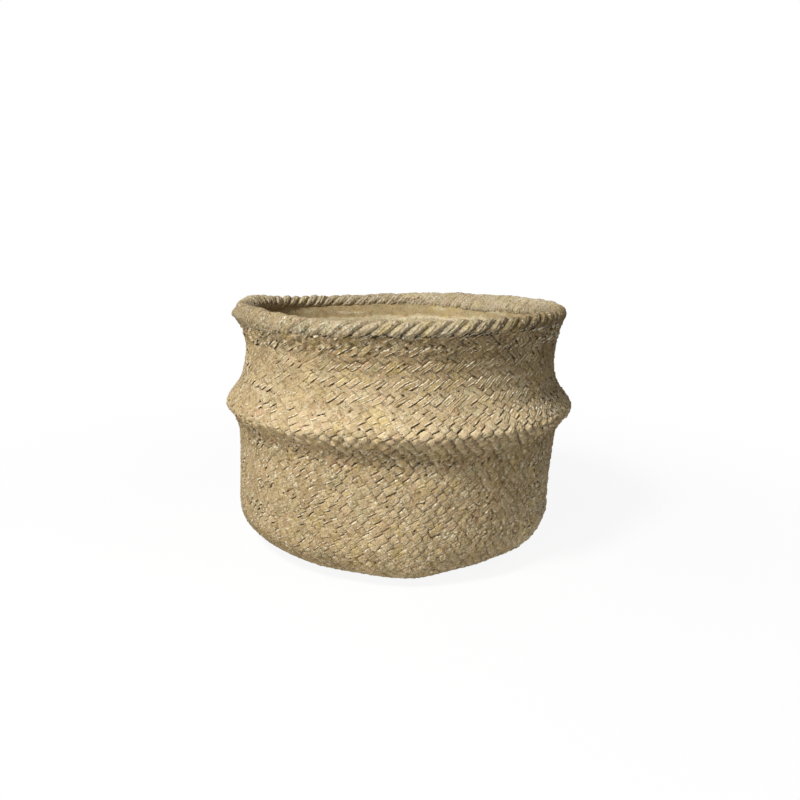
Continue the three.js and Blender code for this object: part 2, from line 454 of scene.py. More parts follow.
# Outline of the casting, as radius and height. Heights are from its foot.
form = {
    "wallRadius": 146.2 * mm,
    "wallDraft": 0.8 * mm,  # how much the lower wall draws in on its way down
    "cornerRadius": 36.5 * mm,
    "creaseHeight": 98 * mm,
    "bellyRadius": shellHigh.x,
    "bellyHeight": 128.5 * mm,
    "neckRadius": 142 * mm,
    "neckHeight": 174 * mm,
    "creaseSoftness": 20 * mm,  # handles of the fold's curves
    "ridgeSoftness": 9 * mm,
    "underRidgeSoftness": 6 * mm,
    "neckSoftness": 32 * mm,
    "wallThickness": 12 * mm,
    "foldThickness": 18 * mm,
    "floorThickness": 16 * mm,
    "footRingWidth": 25 * mm,
    "recessDepth": 4 * mm,
    "drainRadius": 12 * mm,
}
rope = {
    "radius": 6.4 * mm,
    "grooveDepth": 2.0 * mm,
    "strands": 3,
    "turns": 24,
    "fibreLines": 4,  # yarns that show on each strand
    "bedAngle": 46,  # degrees that the lip's groove reaches to each side of the rope's underside
    "sunk": 0.8 * mm,  # how deep the strands lie in the lip
    "columns": 1320,
    "rows": 72,
}
ropeRing = ropeHigh.x - rope["radius"]
ropeHeight = ropeHigh.z - rope["radius"] - shellLow.z
footRadius = form["wallRadius"] - form["wallDraft"] - form["cornerRadius"]


# The groove that carries the rope, from the outer edge of the lip to the inner one
def ropeBed():
    return arc(
        (ropeRing, ropeHeight), rope["radius"] - rope["sunk"],
        -90 + rope["bedAngle"], -90 - rope["bedAngle"],
    )


# Outside, from the foot's edge up to the lip: corner arc, wall, fold out to the belly, fold back to the neck
# and flare
def outsideOutline():
    corner = arc((footRadius, form["cornerRadius"]), form["cornerRadius"], -90, 0)
    crease = (form["wallRadius"], form["creaseHeight"])
    belly = (form["bellyRadius"], form["bellyHeight"])
    neck = (form["neckRadius"], form["neckHeight"])
    lip = ropeBed()[0]
    return np.vstack([
        corner,
        fold(crease, form["creaseSoftness"], belly, form["underRidgeSoftness"]),
        fold(belly, form["ridgeSoftness"], neck, form["neckSoftness"]),
        bezier(neck, (neck[0], (neck[1] + lip[1]) / 2), lip),
    ])


# From the lip's outer edge through the rope's bed, down the inside, over the floor, through the drain hole
# and back along the underside to the foot's edge
def insideOutline():
    bed = ropeBed()
    cornerRadius = form["cornerRadius"] - form["wallThickness"]
    crease = (form["wallRadius"] - form["wallThickness"], form["creaseHeight"])
    belly = (form["bellyRadius"] - form["foldThickness"], form["bellyHeight"])
    neck = (form["neckRadius"] - form["wallThickness"], form["neckHeight"])
    cornerAt = (crease[0] - form["wallDraft"] - cornerRadius, form["floorThickness"] + cornerRadius)
    upward = np.vstack([
        arc(cornerAt, cornerRadius, -90, 0),
        fold(crease, form["creaseSoftness"], belly, form["ridgeSoftness"]),
        fold(belly, form["ridgeSoftness"], neck, form["neckSoftness"]),
        bezier(neck, (neck[0], (neck[1] + bed[-1][1]) / 2), bed[-1]),
    ])
    recessRadius = footRadius - form["footRingWidth"]
    underneath = [
        (form["drainRadius"], form["floorThickness"]),
        (form["drainRadius"], form["recessDepth"]),
        (recessRadius, form["recessDepth"]),
        (recessRadius, 0),
        (footRadius, 0),
    ]
    return np.vstack([bed, upward[::-1], underneath])


# Points of an outline turned round the axis, pushed out along its normal by a height at each point and then
# straight outward
def turned(outline, around, raised, outward=0):
    tangent = np.gradient(outline, axis=0)
    tangent /= np.linalg.norm(tangent, axis=1, keepdims=True)
    radius = outline[:, :1] + tangent[:, 1:] * raised + outward
    height = outline[:, 1:] - tangent[:, :1] * raised
    return np.stack([radius * np.cos(around), radius * np.sin(around), height + shellLow.z], axis=-1)


# Woven relief of the outside: flat seagrass strips that slant both ways, pressed into the cement and partly
# filled with slurry
weave = {
    "strips": 96,  # strips of each slant round the pot
    "depth": 1.5 * mm,  # from the top of a strip to the bottom of the gap beside it
    "ridgeDepth": 0.7,  # share by which the strips stand out more on the belly's ridge
    "filled": -0.3,  # level that slurry fills a smeared weave to, as a share of the depth
    "shoulder": 0.9 * mm,  # how far a strip's edge is rounded
    "changeHeight": 146 * mm,  # where the weave of the wall and belly gives way to that of the neck
    "wander": {"wavelength": 34 * mm, "by": 0.1},  # the strips are not quite straight
    "waver": {"wavelength": 11 * mm, "by": 0.03},
    "wanderSeeds": {"rising": 11, "falling": 14},
    "plateSeeds": {"rising": 17, "falling": 18},
    "sideLines": 0.5,  # share by which lines are wider at the sides
    "spacing": 0.7 * mm,
    "columns": 1536,
    "bands": ("wovenFoot", "wovenCorner", "wovenWall", "wovenCrease", "wovenBelly", "wovenNeck"),
}
# On the wall and belly each strip goes over one and under one. What shows are short domed plates, each turned
# a little so that its lower edge slants less than the strips, with a shadow at the lower right.
wallWeave = {
    "over": 1, "rowRise": 11.6 * mm, "stripWidth": 7.4 * mm, "crossing": 7.5 * mm, "step": 0.15,
    "rising": {
        "middle": 0.5, "reach": 1.05, "level": 0.0, "lowerDrop": 0.9, "upperDrop": 0.25, "endDrop": 0.35,
        "overlap": 0.4, "dome": 0.4, "shadow": 1.0, "lowerShade": 1.0, "endShade": 0.0, "tipShade": 0.1,
        "rubbed": 1.4, "ribs": 0.14,
    },
    "falling": {
        "middle": 1.5, "reach": 1.0, "level": 0.0, "lowerDrop": 0.45, "upperDrop": 0.3, "endDrop": 0.6,
        "overlap": 0.15, "dome": 0.4, "shadow": 1.0, "lowerShade": 0.25, "endShade": 0.0, "tipShade": 1.0,
        "rubbed": 1.3, "ribs": 0.05,
    },
}
# On the neck each strip goes over two and under two. The strips that rise to the right lie proud and overlap
# like shingles, with a drop below each one's lower edge. Those that fall to the right lie low between them.
neckWeave = {
    "over": 2, "rowRise": 6.35 * mm, "stripWidth": 5.3 * mm, "crossing": 5.7 * mm, "step": 0.0,
    "rising": {
        "middle": 1, "reach": 1.05, "level": 0.0, "lowerDrop": 0.9, "upperDrop": 0.25, "endDrop": 0.6,
        "overlap": 0.4, "dome": 0.25, "shadow": 0.75, "lowerShade": 1.0, "endShade": 0.3, "tipShade": 0.0,
        "rubbed": 1.0, "ribs": 0.14,
    },
    "falling": {
        "middle": 3, "reach": 1.0, "level": -0.2, "lowerDrop": 0.35, "upperDrop": 0.3, "endDrop": 0.5,
        "overlap": 0.15, "dome": 0.25, "shadow": 0.75, "lowerShade": 0.8, "endShade": 0.0, "tipShade": 0.0,
        "rubbed": 0.7, "ribs": 0.05,
    },
}
# How much single plates differ, each way, in the order that the differences are drawn
plateSpread = {
    "tone": 0.8, "width": 0.03, "reach": 0.2, "lift": 0.12, "tilt": 0.08, "roll": 0.2, "worn": 0.45,
    "ribbed": 1, "length": 0.35, "shift": 0.35,
}
rowsDrawn = 64  # rows of random values, used over again further up
# What the plates' edges and faces are like. Distances from an edge are in shoulders.
plateLook = {
    "tone": 0.5,
    "keenFrom": (0.2, 0.6),  # crispness at which an edge starts to show, and at which it is keen
    "stroke": 0.6,  # share of a domed plate's lower edge that is painted dark as shade
    "flatStroke": 0.3,  # what a flat plate adds to that share
    "strokeEnd": 0.4,
    "shallowDrop": 0.4,  # share of the lower drop beyond the stroke
    "fallAway": -0.6,  # how far past its edge a plate drops on
    "ribbedFrom": (0.0, 0.7),
    "ribShade": 3,
    "ribLineFrom": (0.4, 1),
    "ridgeDome": 2.0,
    "ridgeShade": 0.8,
    "endShadow": 0.8,
    "fade": 0.6,
    "upperLine": 1.1,  # how far in the painted highlight of the upper edge reaches
    "lowerLine": (0.7, 1.0, 1.4, 1.9),  # the same of the lower edge: starts, is full, is last full, ends
    "lowerHighlight": 0.8,
}


# A setting of the wall's weave below the change and of the neck's above it
def ofWeave(onWall, *names):
    wall, neck = wallWeave, neckWeave
    for name in names:
        wall, neck = wall[name], neck[name]
    return np.where(onWall, wall, neck)


# How many crossings of the weave lie below each point of the outline: the rows' share of each step, added up
def crossings(along, onWall):
    return np.cumsum(np.gradient(along, axis=0) / ofWeave(onWall, "rowRise"), axis=0)


# Two families of strips that go over and under each other. What shows of a strip is a plate with rounded
# edges, a little tilted, and the higher plate wins. Gives the height as a share of the depth below the top,
# the painted shade of the gap at the point, the painted highlight along the plate's edges, where it lies
# across the fibres and the plate's tone.
# Where slurry has filled the weave the plates are low, and some still have keen edges. Flat plates show their
# fibres, and the others are domed. Wide lines are for the sides, which the camera sees at a slant.
def woven(around, along, rise, onWall, crisp, flat, onRidge, wide):
    turns = weave["strips"] * around / fullTurn
    count = weave["strips"]
    over = ofWeave(onWall, "over")
    stripWidth = ofWeave(onWall, "stripWidth") / weave["shoulder"]
    crossing = ofWeave(onWall, "crossing") / weave["shoulder"]
    look = plateLook
    fade = look["fade"]

    # How far a plate has dropped at a distance inside its edge: a parabola that starts at the shoulder
    def fallen(inside):
        return (1 - np.clip(inside, look["fallAway"], 1)) ** 2

    # The plates of one family, from the position across its strips and the run along them, both in strips
    def plates(slant, position, run):
        family = {name: ofWeave(onWall, slant, name) for name in wallWeave[slant]}
        own = np.floor(position).astype(int)
        across = position - own - 0.5
        place = run + own + over - family["middle"]
        piece = (own % count, np.floor(place / (2 * over)).astype(int) % rowsDrawn)
        lengthwise = (place % (2 * over) - over) / over * 2
        draw = np.random.default_rng(weave["plateSeeds"][slant])
        draws = draw.uniform(-1, 1, (len(plateSpread), count, rowsDrawn))
        differ = {name: spread * drawn[piece] for (name, spread), drawn in zip(plateSpread.items(), draws)}
        beside = (0.5 + differ["width"] - np.abs(across)) * stripWidth
        before = (family["reach"] + differ["reach"] - np.abs(lengthwise)) * over / 2 * crossing
        upper = across > 0
        keen = ease(crisp + differ["worn"], *look["keenFrom"])

        half = family["reach"] * (look["stroke"] + look["flatStroke"] * flat + differ["length"])
        stroke = ease(half - np.abs(lengthwise - differ["shift"] * (1 - flat)), 0, look["strokeEnd"])
        lowerDrop = family["lowerDrop"] * (look["shallowDrop"] + (1 - look["shallowDrop"]) * stroke)
        drop = np.where(upper, family["upperDrop"], lowerDrop) * fallen(beside)
        drop = keen * (drop + family["endDrop"] * fallen(before))

        slope = differ["tilt"] * lengthwise + (differ["roll"] - family["overlap"]) * across
        ribs = family["ribs"] * ease(differ["ribbed"], *look["ribbedFrom"]) * flat
        fibre = across + 0.5 + differ["roll"]
        lines = np.cos(fullTurn * cement["fibreLines"] * fibre)
        domed = family["dome"] * (1 - flat + look["ridgeDome"] * onRidge)
        dome = domed * (0.5 - 4 * across ** 2 - 0.5 * lengthwise ** 2)  # highest in the plate's middle
        level = family["level"] + differ["lift"] + slope + ribs * lines + dome
        height = weave["filled"] + (level - weave["filled"]) * crisp - drop

        # Painted shade: a dark stroke along the plate's lower edge and at its ends, where its shadow falls,
        # and in the valleys between its fibres
        shadow = family["shadow"] * wide
        lowerShade = np.maximum(family["lowerShade"], look["ridgeShade"] * onRidge)
        gap = np.where(upper, 0, ease(shadow - beside, 0, fade)) * lowerShade * stroke
        ends = np.where(lengthwise < 0, family["tipShade"], 0) + family["endShade"]
        gap = np.maximum(gap, ease(look["endShadow"] * shadow - before, 0, fade) * ends) * keen
        gap = np.maximum(gap, look["ribShade"] * ribs * crisp * ease(-lines, *look["ribLineFrom"]))

        # Painted highlight: pale lines along the upper edge and in a band past the lower stroke
        start, full, last, end = look["lowerLine"]
        lowerLine = ease(beside, start * wide, full * wide) * ease(end * wide - beside, 0, end - last)
        upperLine = ease(look["upperLine"] * wide - beside, 0, fade)
        lit = np.where(upper, upperLine, look["lowerHighlight"] * lowerLine)
        rubbed = lit * family["rubbed"] * keen * stroke
        return height, gap, rubbed, fibre, look["tone"] + differ["tone"]

    def wandering(slant):
        seed = weave["wanderSeeds"][slant]
        slow = rolling(around, along, **weave["wander"], seed=seed)
        return slow + rolling(around, along, **weave["waver"], seed=seed + 1)

    falling = rise + turns + wandering("falling")
    rising = rise - turns + wandering("rising") + ofWeave(onWall, "step") * (2 * (falling % 1) - 1)
    first = plates("rising", rising, falling)
    second = plates("falling", falling, rising)
    shows = first[0] > second[0]
    return [np.where(shows, *pair) for pair in zip(first, second)]


# Degrees round the pot from the middle of its front: to the right from 0 to 180, to the left from 0 to -180
def fromFront(around):
    return (np.degrees(around) + 270) % 360 - 180


# 1 on a stretch, easing in from the first value to the second and out again between the last two
def span(value, start, full, last, end):
    return ease(value, start, full) * ease(-value, -end, -last)


# What a mark's place may name, with its curve and the value that the curve is of. The angle is in degrees
# from the front. The level is the height above the foot or, on the rope, the angle round its own section.
markCurves = {
    "angles": (span, "angle"),
    "bothSides": (span, "away"),
    "behind": (ease, "away"),
    "about": (bell, "angle"),
    "heights": (ease, "level"),
    "layer": (span, "level"),
    "nearHeight": (hump, "level"),
    "side": (bell, "level"),
}


# How much of a mark is at a point, 0 to 1: the product of the curves that it names
def marked(angle, level, mark):
    values = {"angle": angle, "away": np.abs(angle), "level": level}
    share = 1.0
    for name, (curve, value) in markCurves.items():
        if name in mark:
            share = share * curve(values[value], *mark[name])
    return share


# Marks added up, each times its own amount
def allMarks(angle, level, marks):
    return sum(mark["by"] * marked(angle, level, mark) for mark in marks)


# Slurry that was smeared over the rim, at the left of the front
rimSmears = (
    {"by": 0.85, "about": (-52, 26)},
    {"by": 0.75, "about": (-75, 20)},
)


def smearedRim(angle):
    return np.clip(allMarks(angle, 0, rimSmears), 0, 1)


# Places on the outside that several of its features share
ridgeLine = (125 * mm, 11 * mm)  # middle height and width of the belly's ridge
leftSide = (-160, -110)  # where marks of the left side start and are full
places = {
    "flat": {"heights": (116 * mm, 150 * mm)},  # plates are domed below and flat above
    "onRidge": {"nearHeight": ridgeLine},
    "underFold": {"nearHeight": (110 * mm, 11 * mm)},
    "sides": {"bothSides": (30, 60, 90, 130)},
    "rightSide": {"angles": (30, 60, 100, 140)},
    "neckRight": {"angles": (35, 60, 90, 120), "layer": (140 * mm, 152 * mm, 184 * mm, 196 * mm)},
    "lowRight": {"angles": (35, 60, 110, 160), "heights": (95 * mm, 45 * mm)},
    "underRim": {"heights": (184 * mm, 196 * mm)},
    "crumbly": {"angles": (-120, -95, -40, 0), "heights": (186 * mm, 196 * mm)},
    "leftEnd": {"about": (-84, 20)},
    "lip": {"heights": (186 * mm, 204 * mm)},
    "underRope": {"heights": (202 * mm, 206 * mm)},
}
# Where slurry hides the weave: the pot's left and a little of its right
smears = (
    {"by": 0.6, "angles": (-120, -80, -42, -10)},
    {"by": 0.15, "about": (85, 25)},
)
# Painted shade and painted light, in steps of tone. Shade lies under the rim, on the left, low at the right
# of the front and under the fold. Light lies on the belly's ridge, low on the right and round the foot's
# corner, whose front and left are given shade.
paintedShadeAndLight = (
    {"by": -2.3, "angles": (-45, -5, 110, 160), "heights": (160 * mm, 188 * mm)},  # painted shade under the rim
    {"by": -0.9, "angles": (*leftSide, -25, 0), "heights": (112 * mm, 96 * mm)},
    {"by": -0.765, "about": (32, 14), "heights": (112 * mm, 96 * mm)},
    {"by": 1.7, **places["lowRight"]},
    {"by": -1.3, **places["underFold"]},
    {"by": 0.9, "angles": (-60, -20, 110, 160), "nearHeight": (130 * mm, 14 * mm)},
    {"by": -0.5, "angles": (*leftSide, -45, -20), "heights": (112 * mm, 125 * mm)},
    {"by": 0.6, "heights": (50 * mm, 25 * mm)},  # the rest are on the foot's corner
    {"by": -0.9, "about": (6, 18), "heights": (50 * mm, 25 * mm)},
    {"by": 1.12, **places["rightSide"], "heights": (50 * mm, 25 * mm)},
    {"by": -0.8, "angles": (*leftSide, -30, 0), "heights": (50 * mm, 25 * mm)},
)
# How far the casting is pressed in, or out where the sign is minus, and how far its foot bulges
dents = (
    {"by": 2.4 * mm, "about": (-82, 26), "heights": (160 * mm, 185 * mm)},
    {"by": -1.6 * mm, "about": (82, 26), "heights": (160 * mm, 185 * mm)},
    {"by": 2.2 * mm, "about": (-79, 25), "nearHeight": ridgeLine},
)
footBulges = (
    {"by": 7 * mm, "about": (6, 10), "heights": (28 * mm, 4 * mm)},
    {"by": -4 * mm, "about": (-42, 22), "heights": (28 * mm, 4 * mm)},
    {"by": -2 * mm, "about": (42, 15), "heights": (28 * mm, 4 * mm)},
)
# The outside's rough surface. Bubbles have a cell, a smallest and a largest radius and a share of the cells.
surface = {
    "pits": {"cell": 9 * mm, "smallest": 0.7 * mm, "largest": 1.9 * mm, "share": 0.35, "seed": 31},
    "jumbledPits": {"cell": 8 * mm, "smallest": 0.9 * mm, "largest": 2.4 * mm, "share": 0.5, "seed": 34},
    "crumblyPits": {"cell": 7 * mm, "smallest": 1.0 * mm, "largest": 2.6 * mm, "share": 0.7, "seed": 36},
    "dots": {"cell": 5 * mm, "smallest": 0.8 * mm, "largest": 1.8 * mm, "share": 0.6, "seed": 37},
    "crumbs": {"cell": 4.6 * mm, "smallest": 0.8 * mm, "largest": 1.8 * mm, "share": 0.7, "seed": 39},
    "pitDepth": 1.2 * mm,
    "pitShade": 0.9,
    "rightPitShade": 0.4,  # what the right side adds to the shade of its pits
    "fewDots": 0.3,  # share of the dots where the surface is not jumbled
    "dotPatches": {"wavelength": 20 * mm, "seed": 38},
    "dotsFrom": (-0.2, 0.5),
    "crumbPatches": {"wavelength": 18 * mm, "seed": 40},
    "crumbsFrom": (-0.2, 0.4),
    "crumbHeight": 0.5 * mm,
    "domedCrumbs": 1.2,  # share of the crumbs among domed plates
    "rightJumble": 0.7,
    "grain": {"wavelength": 3.2 * mm, "seed": 32, "waves": 40},
    "grainHeight": 0.08 * mm,
    "smearedGrain": 0.14 * mm,  # what smears and the right side add to the grain's height
    "rightGrain": 0.12 * mm,
    "crumble": {"wavelength": 8 * mm, "seed": 35},
    "jumbledCrumble": 0.4 * mm,
    "crumblyCrumble": 0.5 * mm,
    "lowRightCrumble": 0.3 * mm,
    "lumps": {"wavelength": 60 * mm, "seed": 33, "by": 0.35 * mm},
    "smearPatches": {"wavelength": 42 * mm, "seed": 21, "by": 0.2},
    "neckSmear": 0.5,
    "leastCrisp": 0.12,
    "slurry": 2.4 * mm,  # on the lip
    "leftEndCut": 1.5 * mm,
    "rightPaleAndHighlight": 0.6,
    "neckUnrubbed": 0.6,
    "footEase": 5 * mm,  # the relief dies away towards the foot and the lip
    "lipEase": 4 * mm,
}


# How crisp the weave still is, 0 to 1: less where it is smeared, and in patches
def crispness(around, along, angle, neckRight):
    patches = rolling(around, along, **surface["smearPatches"])
    crisp = np.clip(1.0 - allMarks(angle, 0, smears) + patches, surface["leastCrisp"], 1)
    return crisp * (1 - surface["neckSmear"] * neckRight)


# Holes and crumbs of the outside, each 1 in the middle of one and 0 away from it
def holesAndCrumbs(around, along, place, jumbled):
    def scattered(name):
        return bubbles(around, along, **surface[name])

    dotPatches = ease(rolling(around, along, **surface["dotPatches"]), *surface["dotsFrom"])
    manyDots = surface["fewDots"] + (1 - surface["fewDots"]) * jumbled
    pits = np.maximum(scattered("pits"), scattered("jumbledPits") * jumbled)
    pits = np.maximum(pits, scattered("dots") * dotPatches * manyDots)
    pits = np.maximum(pits, scattered("crumblyPits") * place["crumbly"])
    crumbPatches = ease(rolling(around, along, **surface["crumbPatches"]), *surface["crumbsFrom"])
    manyCrumbs = np.clip(surface["domedCrumbs"] * (1 - place["flat"]) + jumbled, 0, 1)
    return pits, scattered("crumbs") * crumbPatches * manyCrumbs


# Small unevenness between the strips, as a height: grain, crumbling and slow lumps
def unevenness(around, along, place, jumbled, crisp):
    grain = surface["grainHeight"] + surface["smearedGrain"] * (1 - crisp)
    grain = grain + surface["rightGrain"] * place["rightSide"]
    crumble = surface["jumbledCrumble"] * jumbled + surface["crumblyCrumble"] * place["crumbly"]
    crumble = crumble + surface["lowRightCrumble"] * place["lowRight"]
    rough = rolling(around, along, **surface["grain"]) * grain
    rough = rough + rolling(around, along, **surface["crumble"]) * crumble
    return rough + rolling(around, along, **surface["lumps"])


# The outline turned round and raised by the weave, holes, crumbs and unevenness, then by slurry and dents.
# The columns of the grid climb along the rising strips, so that the strips' edges are cut clean.
def makeOutside():
    along, outline = evenly(outsideOutline(), weave["spacing"])
    along = along[:, None]
    height = outline[:, 1:]
    onWall = height < weave["changeHeight"]
    rise = crossings(along, onWall)
    around = np.linspace(0, fullTurn, weave["columns"], endpoint=False)[None, :]
    around = around + fullTurn / weave["strips"] * rise
    angle = fromFront(around)
    place = {name: marked(angle, height, mark) for name, mark in places.items()}
    rightSide, neckRight, leftEnd = place["rightSide"], place["neckRight"], place["leftEnd"]
    rimSmear = smearedRim(angle)
    crisp = crispness(around, along, angle, neckRight)
    wide = 1 + weave["sideLines"] * place["sides"]
    shape = woven(around, along, rise, onWall, crisp, place["flat"], place["onRidge"], wide)
    relief, gap, rubbed, fibre, tone = shape
    jumbled = np.clip(place["underRim"] + place["underFold"] + surface["rightJumble"] * rightSide, 0, 1)
    pits, crumbs = holesAndCrumbs(around, along, place, jumbled)
    rough = unevenness(around, along, place, jumbled, crisp)

    proud = 1 + weave["ridgeDepth"] * place["onRidge"]
    ends = ease(along, 0, surface["footEase"]) * ease(along[-1] - along, 0, surface["lipEase"])
    raised = relief * weave["depth"] * proud + rough
    raised = raised - pits * surface["pitDepth"] + crumbs * surface["crumbHeight"]
    slurry = surface["slurry"] * rimSmear * (1 - leftEnd) - surface["leftEndCut"] * leftEnd
    raised = raised * ends + slurry * place["lip"] - allMarks(angle, height, dents)
    points = settle(turned(outline, around, raised, allMarks(angle, height, footBulges)))
    normals = gridNormals(points)

    # Tone: the plates' own, with painted shade and painted light added
    tone = tone + allMarks(angle, height, paintedShadeAndLight)
    # Painted highlight along the plates' edges, with pale crumbs, stronger on the right and weaker at the
    # right of the neck
    rubbed = np.maximum(rubbed, crumbs) * (1 + surface["rightPaleAndHighlight"] * rightSide)
    rubbed = np.clip(rubbed * (1 - surface["neckUnrubbed"] * neckRight), 0, 1)
    # Painted shade in the gaps, pits and along the line under the rope, heavier on the right and where the
    # surface is jumbled
    pitShade = surface["pitShade"] + surface["rightPitShade"] * rightSide
    paintedShadeUnderRope = place["underRope"] * (1 - rimSmear)
    hollow = np.clip(gap * (1 + jumbled + rightSide) + pitShade * pits + paintedShadeUnderRope, 0, 1)
    bands = len(weave["bands"])
    edges = np.linspace(0, len(along) - 1, bands + 1).round().astype(int)
    for name, first, last in zip(weave["bands"], edges, edges[1:]):
        rows = slice(first, last + 1)
        mesh = gridMesh(name, points[rows], lengths=4)
        mesh.normals_split_custom_set_from_vertices(normals[rows].reshape(-1, 3))
        givePoints(mesh, hollow=hollow[rows], rubbed=rubbed[rows], fibre=fibre[rows], tone=tone[rows])
        addPiece(mesh, wovenCement, "pot", "pot_shell")
    print("woven outside:", weave["columns"], "by", len(along), "points in", bands, "bands")


# Inside, floor and underside: smooth plaster with trowel waves, and a thin coat that stops short of the rim
plaster = {
    "spacing": 1.6 * mm,
    "easing": 5,
    "columns": 360,
    "waves": {"wavelength": 55 * mm, "seed": 42, "by": 0.5 * mm},
    "grain": {"wavelength": 9 * mm, "seed": 43, "by": 0.1 * mm},
    "pits": {"cell": 14 * mm, "smallest": 1.2 * mm, "largest": 2.6 * mm, "share": 0.25, "seed": 44},
    "pitDepth": 1 * mm,
    "pitShade": 0.6,
    "coatEdge": 193 * mm,
    "coatFrom": (30 * mm, 60 * mm),
    "coatThickness": 1.2 * mm,
    "coatRounding": 1.5 * mm,
    "ragged": {"wavelength": 40 * mm, "seed": 41, "by": 1 * mm},  # of the coat's edge
    "frayed": {"wavelength": 9 * mm, "seed": 45, "by": 0.5 * mm},
    "streaks": (199 * mm, 189 * mm, 184 * mm),
    "streakWidth": 0.8 * mm,
    "streakHeight": 0.5 * mm,
    "streakWander": {"wavelength": 60 * mm, "by": 1.2 * mm},
    "streakPatches": {"wavelength": 50 * mm},
    "patchFrom": (-0.2, 0.6),
    "wanderSeed": 46,  # of the first streak, and one more for each further one
    "patchSeed": 56,
    "wallFrom": (22 * mm, 40 * mm),  # heights at which the plaster's relief starts and is full
    "wallTo": (4 * mm, 14 * mm),  # distances below the rope's middle at which it ends
    # The coat is paler and greyer than bare plaster, and the dark bare band between the coat's edge and the
    # rope is also painted shade under the rope
    "tone": -1.5,
    "coatTone": 1.9,
    "bareLight": 0.9,  # painted light on the bare stretch above the coat at the right of the back
    "bareAbout": (140, 32),
    "coatRubbed": 0.2,
    "streakRubbed": 0.6,
}


# The inside's outline turned round and raised by the coat, waves, streaks and pits
def makeInside():
    along, outline = evenly(insideOutline(), plaster["spacing"], plaster["easing"])
    along = along[:, None]
    height = outline[:, 1:]
    around = np.linspace(0, fullTurn, plaster["columns"], endpoint=False)[None, :]
    anyHeight = 0 * along  # for waves that are the same at every height
    edge = plaster["coatEdge"] + rolling(around, anyHeight, **plaster["ragged"])
    edge = edge + rolling(around, along, **plaster["frayed"])
    coat = ease(edge - height, 0, plaster["coatRounding"]) * ease(height, *plaster["coatFrom"])
    streaks = 0
    for number, streakHeight in enumerate(plaster["streaks"]):
        wander = rolling(around, anyHeight, **plaster["streakWander"], seed=plaster["wanderSeed"] + number)
        patches = rolling(around, anyHeight, **plaster["streakPatches"], seed=plaster["patchSeed"] + number)
        streak = hump(height, streakHeight + wander, plaster["streakWidth"])
        streaks = streaks + streak * ease(patches, *plaster["patchFrom"])
    uneven = rolling(around, along, **plaster["waves"]) + rolling(around, along, **plaster["grain"])
    pits = bubbles(around, along, **plaster["pits"])
    uneven = uneven - pits * plaster["pitDepth"] + streaks * plaster["streakHeight"]
    onWall = ease(height, *plaster["wallFrom"]) * ease(ropeHeight - height, *plaster["wallTo"])
    points = settle(turned(outline, around, coat * plaster["coatThickness"] + uneven * onWall))
    mesh = gridMesh("plasteredInside", points, lengths=2)
    # Painted light on the bare stretch at the right of the back, and painted shade in pits
    bare = (1 - coat) * bell(fromFront(around), *plaster["bareAbout"])
    tone = plaster["tone"] + plaster["coatTone"] * coat + plaster["bareLight"] * bare
    rubbed = plaster["coatRubbed"] * coat + plaster["streakRubbed"] * streaks
    givePoints(mesh, hollow=plaster["pitShade"] * pits * onWall, rubbed=rubbed, fibre=0 * tone, tone=tone)
    addPiece(mesh, plainCement, "pot", "pot_shell")
    print("inside and underside:", len(along), "rows")


# Rope on the rim. Its marks lie at a place round the pot and, where they name a side, at one round the rope's
# own section, in degrees: 0 is outward, 90 up and 180 inward.
ropeLeftEnd = (-100, 20)
ropeLeftEdge = (-82, 22)
ropeFill = {"about": (135, 36), "side": (240, 42)}  # slurry down onto the inside
# Where the rope's outer face at the right is given painted shade
ropePaintedShade = {"angles": (15, 45, 76, 100)}
ropeTop = {"side": (130, 60)}
ropeWear = (
    {"by": 0.4, "about": (95, 22)},
    {"by": 0.5, "about": (140, 40)},
    {"by": 0.4, "about": (-170, 28)},
)
ropeLumps = (
    {"by": 4.5 * mm, "about": ropeLeftEnd, "side": (90, 60)},
    {"by": 7 * mm, "about": ropeLeftEnd, "side": (165, 50)},
    {"by": 5.5 * mm, "about": (-62, 24), "side": (95, 55)},
    {"by": 8 * mm, **ropeFill},
    {"by": -3.8 * mm, "about": ropeLeftEdge, "side": (-42, 33)},
    {"by": -2.2 * mm, "about": ropeLeftEdge, "side": (52, 26)},
    {"by": 1.2 * mm, "about": ropeLeftEdge, "side": (12, 22)},
)
